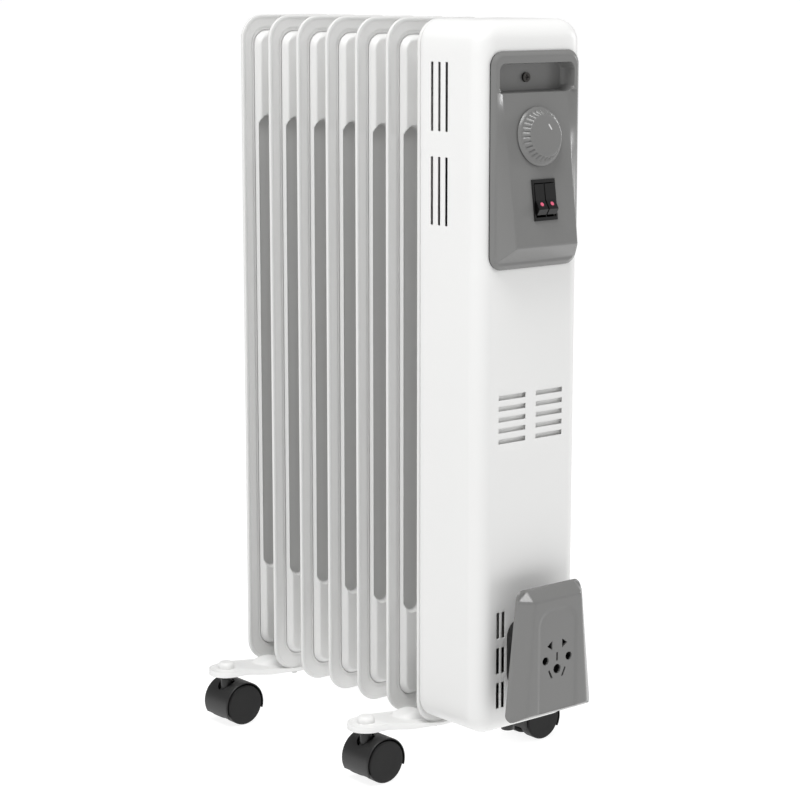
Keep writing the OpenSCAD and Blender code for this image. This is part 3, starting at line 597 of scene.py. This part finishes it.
def fascia_shells():
    """Height over the cover's front: the rim's bevel, the wedge as the lowest of its planes, the recess."""
    half_x, half_z, mid_z, corner = FASCIA_HALF_X, FASCIA_HALF_Z, FASCIA_MID_Z, FASCIA_CORNER
    rim_out, rim_bevel = 4.1, 4.2
    low_edge_z = FASCIA_LOW[2] + 6.0
    pocket_mid, pocket_half, pocket_depth = 577.0, 11.0, 14.5
    reference = (half_x, half_z, corner)
    xs = mirrored(spread((0, 1.5), (28, 0.7), (half_x,)))
    zs = spread(
        (-half_z, 0.8),
        (-half_z + 22, 1.6),
        (pocket_mid - 14 - mid_z, 0.45),
        (pocket_mid + 13 - mid_z, 0.6),
        (half_z,),
    )
    rim_edge = half_x - rim_bevel
    # The edge stands off the cover and is cut back under itself, which leaves a dark line round it
    gap, undercut, wall, wider = FASCIA_GAP, 3.0, 2.2, 0.9

    def height_at(x, up, grow):
        """How far the front stands out at a point, with the recess wider by grow, as the back needs it."""
        inside = -box_distance(x, up - mid_z, half_x, half_z, corner)
        down = np.clip((PANEL_TOP_Z - up) / (PANEL_TOP_Z - PANEL_LOW_Z), 0, 1)
        half_panel = 34.5 - 2.0 * down
        panel = PANEL_TOP_OUT + (PANEL_TOP_Z - up) * math.tan(PANEL_TILT)
        side = rim_out + (rim_edge - np.abs(x)) * (panel - rim_out) / (rim_edge - half_panel)
        foot = rim_out + (up - low_edge_z) * (PANEL_LOW_OUT - rim_out) / (PANEL_LOW_Z - low_edge_z)
        # A soft minimum rounds the edges between the planes as a mould does
        blend = 0.18
        planes = np.stack([panel, side, foot])
        wedge = -blend * np.log(np.exp(-np.clip(planes, -60, 60) / blend).sum(0))
        ramp = smoothstep(0.0, 1.0, inside / rim_bevel)
        round_part = np.sin(np.clip(inside / rim_bevel, 0, 1) * math.pi / 2)
        out = gap + (rim_out - gap) * (0.55 * ramp + 0.45 * round_part)
        rises = (np.abs(x) < rim_edge) & (up > low_edge_z) & (panel > rim_out)
        out = np.where(rises, np.maximum(out, wedge), out)
        # Above the level line the panel lies behind the rim, with a short slope up to it on each side
        sunk = (up < PANEL_TOP_Z + 1) & (panel <= rim_out) & (inside > rim_bevel)
        valley = np.clip((rim_edge - np.abs(x)) / (rim_edge - half_panel), 0, 1)
        out = np.where(sunk, rim_out + (panel - rim_out) * valley, out)
        recess = box_distance(x, up - pocket_mid, 39.0, pocket_half, 5.0) - grow
        return out + (rim_out - pocket_depth - out) * (1.0 - smoothstep(-0.7, 0.5, recess))

    # The switch's opening lies on grid lines, under the bezel; its wall joins the front to the back
    opening_x, opening_z = 10.4, (SWITCH_Z - 14.2 - mid_z, SWITCH_Z + 14.2 - mid_z)
    xs = np.unique(np.concatenate([xs, [-opening_x, opening_x]]))
    zs = np.unique(np.concatenate([zs, opening_z]))
    gx, gz = np.meshgrid(xs, zs)
    inner = (half_x - undercut, half_z - undercut, corner - undercut)
    x, z = to_rounded(gx, gz, reference, reference)
    front = np.stack([x, COVER_FRONT - height_at(x, z + mid_z, 0.0), z + mid_z], -1)
    x, z = to_rounded(gx, gz, reference, inner)
    back = np.stack([x, COVER_FRONT - height_at(x, z + mid_z, wider) + wall, z + mid_z], -1)
    faces = grid_faces(len(zs), len(xs))
    mid_x, mid_up = gx.reshape(-1)[faces].mean(1), gz.reshape(-1)[faces].mean(1)
    faces = faces[(np.abs(mid_x) > opening_x) | (mid_up < opening_z[0]) | (mid_up > opening_z[1])]
    hx, hz = border(xs[np.abs(xs) <= opening_x], zs[(zs >= opening_z[0]) & (zs <= opening_z[1])])
    hz = hz + mid_z
    hole = np.array(
        [
            np.stack([hx, COVER_FRONT - height_at(hx, hz, 0.0), hz], -1),
            np.stack([hx, COVER_FRONT - height_at(hx, hz, wider) + wall, hz], -1),
        ]
    )
    bx, bz = border(xs, zs)
    x, z = to_rounded(bx, bz, reference, reference)
    edge = np.full_like(x, COVER_FRONT - gap)
    rings = [np.stack([x, edge, z + mid_z], -1)]
    x, z = to_rounded(bx, bz, reference, inner)
    rings.append(np.stack([x, edge, z + mid_z], -1))
    rings.append(np.stack([x, COVER_FRONT - height_at(x, z + mid_z, wider) + wall, z + mid_z], -1))
    return [
        (front, faces),
        (back, faces),
        (hole, grid_faces(2, len(hx), wrap=True)),
        (np.array(rings), grid_faces(3, len(bx), wrap=True)),
    ]


def gap_shadow_shell():
    """A dark band standing on the cover a little inside the fascia's outline, up to the fascia's edge: a
    painted shadow for the gap under that edge.
    """
    half_x, half_z, corner = reference = (FASCIA_HALF_X, FASCIA_HALF_Z, FASCIA_CORNER)
    bx, bz = border(mirrored(spread((0, 1.5), (half_x,))), mirrored(spread((0, 1.5), (half_z,))))
    inner, outer, foot = 1.9, 0.35, -0.2
    rings = []
    for inset, out in ((inner, foot), (outer, foot), (outer, FASCIA_GAP), (inner, FASCIA_GAP), (inner, foot)):
        x, z = to_rounded(bx, bz, reference, (half_x - inset, half_z - inset, corner - inset))
        rings.append(np.stack([x, np.full_like(x, COVER_FRONT - out), z + FASCIA_MID_Z], -1))
    return [(np.array(rings), grid_faces(len(rings), len(bx), wrap=True))]


def panel_frame(z):
    """Directions and origin of a frame on the sloped panel: Z is out of the panel, Y up along it."""
    cos, sin = math.cos(PANEL_TILT), math.sin(PANEL_TILT)
    out = PANEL_TOP_OUT + (PANEL_TOP_Z - z) * math.tan(PANEL_TILT)
    return [[1, 0, 0], [0, sin, cos], [0, -cos, sin]], [0.0, COVER_FRONT - out, z]


def knob_shell():
    """A turned skirt and grip; the grip's radius waves with the ribs, fading out at its foot and its face."""
    ribs = sizes().knob_ribs
    turns = ribs * 10
    gap = 0.45
    profile = rounded_profile(
        [
            [0.0, gap], [22.6, gap], [23.4, gap + 0.7], [21.6, gap + 2.4], [20.4, gap + 2.8],
            [17.3, 7.8], [16.4, 8.75], [15.0, 8.9], [0.0, 8.9],
        ],
        0.5,
        4,
    )
    angle = np.linspace(0, 2 * math.pi, turns, endpoint=False)
    radius, height = profile[:, :1], profile[:, 1:]
    grip = smoothstep(gap + 2.4, gap + 3.2, height) * (1 - smoothstep(7.6, 8.7, height))
    rib = 1.4
    wave = rib * np.abs(np.sin(angle * ribs / 2)) ** 0.7
    shaped = radius - grip * (rib - wave) * (radius > 12)
    points = np.stack(
        [shaped * np.cos(angle), shaped * np.sin(angle), np.broadcast_to(height, shaped.shape)], -1
    )
    return points.reshape(-1, 3), grid_faces(len(profile), turns, wrap=True)


def mark_shell():
    """A low pad with round ends, on the knob's face."""
    half_l, half_w, top = 2.7, 0.6, 8.98
    t = np.linspace(0, 2 * math.pi, 40, endpoint=False)
    ring = np.stack([half_w * np.cos(t), half_w * np.sin(t) + np.sign(np.sin(t)) * (half_l - half_w)], -1)
    turn = math.radians(33.0)
    rows = []
    for grow, height in ((1.0, 8.6), (1.0, top - 0.03), (0.86, top), (0.0, top)):
        x, y = ring[:, 0] * grow, ring[:, 1] * grow
        rows.append(
            np.stack(
                [4.7 + x * math.cos(turn) - y * math.sin(turn), 6.6 + x * math.sin(turn) + y * math.cos(turn),
                 np.full_like(x, height)], -1
            )
        )
    return np.array(rows).reshape(-1, 3), grid_faces(4, 40, wrap=True)


def store_shells():
    """A height over the trapezium of the store's rim, with real holes: points near a hole's outline are drawn
    onto it and the cells inside are left out."""
    low_z, high_z = STORE_LOW[2], STORE_HIGH[2]
    mid_z, half_z = (low_z + high_z) / 2, (high_z - low_z) / 2
    rim_y = STORE_LOW[1] + 12.0
    half_x, corner = 41.0, 8.0
    reference = (half_x, half_z, corner)
    xs = mirrored(spread((0, 0.5), (18, 1.4), (24, 0.8), (half_x,)))
    centre = 115.0 - mid_z
    zs = spread(
        (-half_z, 0.8),
        (-half_z + 10, 1.6),
        (centre - 18, 0.5),
        (centre + 18, 1.6),
        (half_z - 14, 0.8),
        (half_z,),
    )
    gx, gz = np.meshgrid(xs, zs)
    x, z = to_rounded(gx, gz, reference, reference)

    def holes_at(px, pz):
        """Signed distance to the nearest plug hole."""
        found = [np.hypot(px, pz - 106.4) - 3.9, box_distance(px, pz - 116.6, 0.95, 3.5, 0.3)]
        for side in (-1, 1):
            found.append(np.hypot(px - side * 12.7, pz - 114.8) - 3.4)
            a = math.radians(side * -28.0)
            qx, qz = px - side * 7.2, pz - 102.8
            found.append(
                box_distance(
                    qx * math.cos(a) + qz * math.sin(a), qz * math.cos(a) - qx * math.sin(a), 0.95, 3.75, 0.3
                )
            )
            qx, qz = (px - side * 8.0) * side, np.abs(pz - 126.7)
            found.append(np.maximum(-2.6 - qx, (qx - 3.0) * 0.581 + qz * 0.814))
        return np.min(found, axis=0)

    taper = 1.0 + (35.0 - 47.0) / (47.0 + 35.0) * z / half_z
    px, pz = drawn_onto(holes_at, x * taper, z + mid_z, 0.27)
    inside = -box_distance(x, z, half_x, half_z, corner) * taper
    # Each side has its own slope: the face stands in from the rim by a different amount on each
    to_side = (half_x - np.abs(x)) / 11.5
    to_top = (half_z - z) / 8.5
    to_low = (z + half_z) / 6.0
    blend = 0.06
    # A facet cuts each upper corner, narrowing towards the face
    to_corner = to_side + to_top - 1.0
    planes = np.stack([to_side, to_top, to_low, to_corner, np.full_like(x, 1.0)])
    lift = -blend * np.log(np.exp(-planes / blend).sum(0))
    skirt = smoothstep(-0.1, 1.1, inside)
    height = 1.6 * skirt + np.clip(lift, 0, 1) * 10.4
    arch = box_distance(px, pz - 100.0, 21.0, 57.0, 14.0)
    height = height - 0.9 * (1.0 - smoothstep(-2.0, 0.6, arch)) * smoothstep(0.97, 1.0, lift)
    front = np.stack([px, rim_y - np.clip(height, 0, 12.0), pz], -1)
    faces = grid_faces(len(zs), len(xs))
    middle = holes_at(px.reshape(-1)[faces].mean(1), pz.reshape(-1)[faces].mean(1))
    return [(front, faces[middle > 0.0])]


def foot_shells(name):
    """A pressed plate: rows across it between the two long edges, level under the fins, rising to the tips,
    with a raised pad on each side, and its flange turned down all round."""
    low, high = node_box(name)
    mid_y = (low[1] + high[1]) / 2
    tip_r, wide = 15.5, (high[1] - low[1]) / 2
    phi = np.linspace(0, math.pi / 2, 13)
    tip_x = STEM_X + tip_r * np.sin(phi[1:])
    tip_half = tip_r * np.cos(phi[1:])
    taper_x = spread((34, 1.5), (STEM_X,))
    taper_half = wide + (tip_r - wide) * (taper_x - 34) / (STEM_X - 34)
    flat_x = np.linspace(0, 34, 16)[:-1]
    half_x = np.concatenate([flat_x, taper_x, tip_x])
    half_y = np.concatenate([np.full(15, wide), taper_half, tip_half])
    ux, uy = mirrored(half_x), np.concatenate([half_y[:0:-1], half_y])
    across = np.sin(np.linspace(-1, 1, 41) * math.pi / 2)
    gx = np.broadcast_to(ux, (41, len(ux)))
    gy = across[:, None] * uy[None, :]
    base = 42.0 + 8.0 * np.clip((np.abs(gx) - 34.0) / 52.0, 0.0, 1.0)
    pad = box_distance(np.abs(gx) - 48.0, gy - 3.0, 15.0, 11.0, 10.0)
    raised = np.maximum(base, 49.4 - 0.01 * (np.abs(gx) - 48.0) ** 2)
    top = base + (raised - base) * (1.0 - smoothstep(-2.6, 0.6, pad))
    # A shallow bead follows the edge
    to_side = (1 - np.abs(across))[:, None] * uy[None, :]
    to_tip = tip_r - np.hypot(np.abs(gx) - STEM_X, gy)
    edge = np.where(np.abs(gx) > STEM_X, np.minimum(to_side, to_tip), to_side)
    top = top - 0.5 * smoothstep(1.4, 2.6, edge) * (1 - smoothstep(3.4, 5.2, edge)) * (np.abs(gx) > 30)
    plate = np.stack([gx, gy + mid_y, top], -1)
    rim = np.concatenate([plate[0], plate[-1][::-1]])
    level = rim[:, 2] - 2.3 - 2.7 * smoothstep(34.0, 66.0, np.abs(rim[:, 0]))
    flange = np.array([rim, np.stack([rim[:, 0], rim[:, 1], level], -1)])
    return [(plate, grid_faces(41, len(ux))), (flange, grid_faces(2, len(rim), wrap=True))]


def hood_arch(side, mid_y):
    """A sheet carried round the axle over the wheels, lower at the stem, its long edges rounded inwards,
    with a round hole for the stem's socket."""
    outer, half, edge_r, hole_r = 20.3, 17.1, 0.9, 7.5
    start, end = -math.asin(HOOD_END_TRAIL / outer), math.pi + math.asin(HOOD_END_STEM / outer)
    angle = spread((start, 0.09), (1.45, 0.03), (2.56, 0.09), (end,))
    across = mirrored(spread((0, 0.6), (9, 2.0), (half - edge_r, 0.18), (half,)))
    ga, gv = np.meshgrid(angle, across, indexing="ij")
    past = np.clip(np.abs(gv) - (half - edge_r), 0.0, edge_r)
    radius = outer - edge_r + np.sqrt(edge_r**2 - past**2)

    def to_hole(x, y):
        """Distance outside the socket's hole, with X towards the stem."""
        return np.hypot(x - TRAIL, y) - hole_r

    x = -radius * np.cos(ga)
    px, py = drawn_onto(to_hole, x, gv, 0.4)
    height = np.where(px == x, radius * np.sin(ga), np.sqrt(np.maximum(radius**2 - px**2, 0.0)))
    points = np.stack([side * (STEM_X - TRAIL + px), py + mid_y, AXLE_Z + height], -1)
    faces = grid_faces(*ga.shape)
    middle = to_hole(px.reshape(-1)[faces].mean(1), py.reshape(-1)[faces].mean(1))
    return [(points, faces[middle > 0.0])]


def hood_core(side, mid_y):
    """The web between the wheels, a fan from the axle to the arch on both faces, and the stem's socket."""
    reach = 19.2
    steps = 48
    angle = np.linspace(-math.asin(HOOD_END_TRAIL / reach), math.pi + math.asin(HOOD_END_STEM / reach), steps)
    fan = np.array(
        [
            np.stack(
                [
                    side * (STEM_X - TRAIL - r * np.cos(angle)),
                    np.full(steps, mid_y + y),
                    AXLE_Z + r * np.sin(angle),
                ],
                -1,
            )
            for r, y in ((0.0, -1.5), (10.0, -1.5), (reach, -1.5), (reach, 1.5), (10.0, 1.5), (0.0, 1.5))
        ]
    )
    shells = [(fan, grid_faces(len(fan), steps))]
    for end in (0, -1):
        shells.append((np.array([fan[:3, end], fan[:2:-1, end]]), grid_faces(2, 3)))
    socket, faces = lathe(
        rounded_profile([[2.6, 24.0], [2.6, 41.0], [5.0, 41.0], [5.0, 24.0], [0.0, 24.0]], 0.7, 3), 40
    )
    shells.append((socket + np.array([side * STEM_X, mid_y, 0.0]), faces))
    return shells


def wheel_shell(side, mid_y, out):
    """A turned wheel: tread with rounded shoulders, a dished outer disc, an open inner side and its hub."""
    profile = rounded_profile(
        [
            [2.1, 13.5], [4.5, 13.5], [4.5, 15.4], [14.3, 15.4], [14.5, 6.0], [17.9, 5.9],
            [18.0, 16.4], [17.0, 17.45], [8.0, 17.2], [0.0, 17.1],
        ],
        0.8,
        4,
    )
    points, faces = lathe(profile, 72)
    rows = [[1, 0, 0], [0, 0, 1], [0, out, 0]]
    return place(points, rows, [side * (STEM_X - TRAIL), mid_y, AXLE_Z]), faces


def soften(node, width_mm, slot):
    """Keeps a CAD node's shape, breaks its edges and gives it its finish."""
    piece = frame["nodes"][node]
    weld = piece.modifiers.new("Weld", "WELD")
    weld.merge_threshold = 0.01 * MM
    if width_mm:
        edge = piece.modifiers.new("Edge", "BEVEL")
        edge.width = width_mm * MM
        edge.segments = 2
        edge.limit_method = "ANGLE"
        edge.angle_limit = math.radians(40.0)
        edge.harden_normals = True
    for place_of_slot in piece.material_slots:
        place_of_slot.material = FINISHES[slot]


# ---- operators --------------------------------------------------------------


class HEATER_OT_finishes(bpy.types.Operator):
    """Make the finishes and give them to every CAD piece that stays"""

    bl_idname = "heater.finishes"
    bl_label = "Finishes"

    def execute(self, context):
        make_finishes()
        for row in frame["record"]["subparts"]:
            for own in frame["nodes"][row["node"]].material_slots:
                own.material = FINISHES[row["material_slot"]]
        return {"FINISHED"}


class HEATER_OT_fins(bpy.types.Operator):
    """Press the seven fins"""

    bl_idname = "heater.fins"
    bl_label = "Fins"

    def execute(self, context):
        shells = fin_shells()
        for i in range(1, FIN_COUNT + 1):
            low, high = node_box(f"fin_{i}")
            offset = np.array([0.0, (low[1] + high[1]) / 2, FIN_MID_Z])
            moved = [(points + offset, faces) for points, faces in shells]
            piece = make(
                f"pressed_fin_{i}",
                moved,
                "heater",
                [f"fin_{i}"],
                FINISHES["fin_paint"],
                sharp=60.0
            )
            # Marks the slots' floors, where the painted shade is laid
            mark_painted_slot_shade(piece)
        return {"FINISHED"}


class HEATER_OT_cover(bpy.types.Operator):
    """Fold the control cover with its vents"""

    bl_idname = "heater.cover"
    bl_label = "Cover"

    def execute(self, context):
        make(
            "folded_cover", cover_shells(), "heater", ["front_cover"], FINISHES["cover_paint"],
            sharp=40.0, solid=0.8, bevel=0.2,
        )
        make(
            "grille_tray",
            tray_shell(),
            "heater",
            [],
            FINISHES["cover_paint"],
            solid=0.8,
            sharp=40.0,
        )
        return {"FINISHED"}


class HEATER_OT_controls(bpy.types.Operator):
    """Mould the fascia, the knob and its mark, and finish the switches"""

    bl_idname = "heater.controls"
    bl_label = "Controls"

    def execute(self, context):
        grey = FINISHES["grey_plastic"]
        make("moulded_fascia", fascia_shells(), "heater", ["fascia"], grey, sharp=70.0)
        # A black band as painted shadow: it darkens the gap under the fascia's edge
        make(
            "fascia_gap_shadow", gap_shadow_shell(), "heater", [], FINISHES["black_plastic"], sharp=40.0
        )
        rows, origin = panel_frame(KNOB_Z)
        points, faces = knob_shell()
        knob_shells = [(place(points, rows, origin), faces)]
        make("ribbed_knob", knob_shells, "knob", ["knob"], grey, sharp=50.0)
        points, faces = mark_shell()
        make(
            "pointer_mark", [(place(points, rows, origin), faces)], "knob", ["knob_mark"],
            FINISHES["white_mark"],
        )
        for node, width in (("switch_housing", 0.15), ("rocker_left", 0.35), ("rocker_right", 0.35)):
            soften(node, width, "switch_black")
        soften("handle_screw", 0.25, "element_steel")
        return {"FINISHED"}


class HEATER_OT_cord_store(bpy.types.Operator):
    """Mould the cord store's shell and finish its hub"""

    bl_idname = "heater.cord_store"
    bl_label = "Cord store"

    def execute(self, context):
        make(
            "moulded_store", store_shells(), "heater", ["cord_store_shell"],
            FINISHES["grey_plastic"], sharp=60.0, solid=1.8,
        )
        soften("cord_store_hub", 0.4, "black_plastic")
        soften("cord_gland", 0.4, "black_plastic")
        return {"FINISHED"}


class HEATER_OT_feet(bpy.types.Operator):
    """Press the two foot plates and turn the stems' heads"""

    bl_idname = "heater.feet"
    bl_label = "Feet"

    def execute(self, context):
        paint = FINISHES["foot_paint"]
        for name in ("foot_front", "foot_rear"):
            make(
                f"pressed_{name}", foot_shells(name), "heater", [name], paint,
                solid=1.4, bevel=0.9,
            )
        head = rounded_profile(
            [
                [0.0, 24.5], [2.4, 24.5], [2.4, 41.4], [4.5, 41.4], [4.5, 48.6],
                [7.4, 48.8], [7.4, 53.4], [5.6, 55.7], [0.0, 55.9],
            ],
            1.2,
            5,
        )
        for corner in CASTERS:
            low, high = node_box(f"stem_{corner}")
            points, faces = lathe(head, 56)
            points = points + np.array([(low[0] + high[0]) / 2, (low[1] + high[1]) / 2, 0.0])
            make(
                f"riveted_stem_{corner}", [(points, faces)], "heater", [f"stem_{corner}"], paint
            )
        for node in ("u_bolt_front", "u_bolt_rear"):
            soften(node, 0.0, "zinc_steel")
        for end in ("front", "rear"):
            for hand in ("left", "right"):
                soften(f"wing_nut_{end}_{hand}", 0.4, "zinc_steel")
        return {"FINISHED"}


class HEATER_OT_casters(bpy.types.Operator):
    """Mould the four hoods and the eight wheels"""

    bl_idname = "heater.casters"
    bl_label = "Casters"

    def execute(self, context):
        for corner in CASTERS:
            side = -1 if corner.endswith("left") else 1
            low, high = node_box(f"hood_{corner}")
            mid_y = (low[1] + high[1]) / 2
            black = FINISHES["black_plastic"]
            make(
                f"moulded_hood_{corner}", hood_arch(side, mid_y), f"swivel_{corner}", [f"hood_{corner}"],
                black, sharp=40.0, solid=1.4,
            )
            make(
                f"hood_core_{corner}", hood_core(side, mid_y), f"swivel_{corner}", [], black,
                sharp=40.0,
            )
            for letter in "ab":
                node = f"wheel_{corner}_{letter}"
                low, high = node_box(node)
                out = -1 if (low[1] + high[1]) / 2 < mid_y else 1
                make(
                    f"moulded_{node}", [wheel_shell(side, mid_y, out)], node, [node],
                    FINISHES["wheel_plastic"], sharp=40.0,
                )
        return {"FINISHED"}


class HEATER_OT_small_parts(bpy.types.Operator):
    """Break the edges of the plugs, the flange and the parts inside the cover"""

    bl_idname = "heater.small_parts"
    bl_label = "Small parts"

    def execute(self, context):
        slots = {row["node"]: row["material_slot"] for row in frame["record"]["subparts"]}
        for node in (
            "filler_plug", "cap_top_front", "cap_bottom_rear",
            "element_flange", "thermal_cutout", "tilt_switch",
            "terminal_block", "cord_store_screw_upper", "cord_store_screw_lower",
        ):
            soften(node, 0.5, slots[node])
        return {"FINISHED"}


class HEATER_OT_stage(bpy.types.Operator):
    """Set the pale floor, the soft lights and the camera"""

    bl_idname = "heater.stage"
    bl_label = "Stage"

    def execute(self, context):
        floor_size = 200.0
        mesh = bpy.data.meshes.new("studio_floor")
        corners = np.array([[-1, -1], [1, -1], [1, 1], [-1, 1]]) * floor_size
        mesh.from_pydata([(x, y, -0.0005) for x, y in corners.tolist()], [], [(0, 1, 2, 3)])
        floor = bpy.data.objects.new("studio_floor", mesh)
        context.scene.collection.objects.link(floor)
        paper = finish_of("studio_paper", "#949494", 0.9, 0.02, 4.0, 0.001, shade=0.0)
        # Lit from behind, as the translucent sheet of a product table is
        paper_inputs = paper.node_tree.nodes["Principled BSDF"].inputs
        paper_inputs["Emission Color"].default_value = hex_linear("#ffffff")
        paper_inputs["Emission Strength"].default_value = 0.87
        mesh.materials.append(paper)

        world = bpy.data.worlds.new("studio_air")
        world.use_nodes = True
        world.node_tree.nodes["Background"].inputs["Color"].default_value = hex_linear("#ffffff")
        world.node_tree.nodes["Background"].inputs["Strength"].default_value = 0.4
        context.scene.world = world

        target = Vector((0.0, 0.0, 0.3))
        # Name, place, size and power of each soft light
        lights = (
            ("top_soft", (-0.8, -0.5, 2.5), 1.3, 44.0),
            ("left_soft", (-2.8, -0.8, 1.3), 1.2, 6.0),
            ("right_strip", (2.6, -0.9, 1.0), 0.7, 20.0),
        )
        for name, place_of, size, power in lights:
            data = bpy.data.lights.new(name, "AREA")
            data.shape = "SQUARE"
            data.size = size
            data.energy = power
            lamp = bpy.data.objects.new(name, data)
            lamp.location = place_of
            lamp.rotation_euler = (target - lamp.location).to_track_quat("-Z", "Y").to_euler()
            context.scene.collection.objects.link(lamp)

        data = bpy.data.cameras.new("camera")
        data.sensor_width = 36.0
        data.lens = 103.88
        camera = bpy.data.objects.new("camera", data)
        camera.location = (-1.2409, -1.4750, 0.6543)
        camera.rotation_euler = Euler((math.radians(79.609), 0.0, math.radians(-39.738)))
        context.scene.collection.objects.link(camera)
        context.scene.camera = camera
        context.scene.view_settings.view_transform = "Standard"
        return {"FINISHED"}


class HEATER_PT_panel(bpy.types.Panel):
    """Shows the heater's sizes, colours and build steps in the sidebar"""

    bl_idname = "HEATER_PT_panel"
    bl_label = "Heater"
    bl_space_type = "VIEW_3D"
    bl_region_type = "UI"
    bl_category = "Heater"

    def draw(self, context):
        for group in (context.scene.heater_sizes, context.scene.heater_colours):
            for key in group.__annotations__:
                self.layout.prop(group, key)
        for operator in OPERATORS:
            self.layout.operator(operator.bl_idname)


OPERATORS = (
    HEATER_OT_finishes,
    HEATER_OT_fins,
    HEATER_OT_cover,
    HEATER_OT_controls,
    HEATER_OT_cord_store,
    HEATER_OT_feet,
    HEATER_OT_casters,
    HEATER_OT_small_parts,
    HEATER_OT_stage,
)
CLASSES = (HeaterSizes, HeaterColours, *OPERATORS, HEATER_PT_panel)


def register():
    for item in CLASSES:
        bpy.utils.register_class(item)
    bpy.types.Scene.heater_sizes = bpy.props.PointerProperty(type=HeaterSizes)
    bpy.types.Scene.heater_colours = bpy.props.PointerProperty(type=HeaterColours)


def unregister():
    del bpy.types.Scene.heater_colours
    del bpy.types.Scene.heater_sizes
    for item in reversed(CLASSES):
        bpy.utils.unregister_class(item)


def main():
    register()
    bpy.ops.heater.finishes()
    bpy.ops.heater.fins()
    bpy.ops.heater.cover()
    bpy.ops.heater.controls()
    bpy.ops.heater.cord_store()
    bpy.ops.heater.feet()
    bpy.ops.heater.casters()
    bpy.ops.heater.small_parts()
    bpy.ops.heater.stage()


if __name__ == "__main__":
    main()
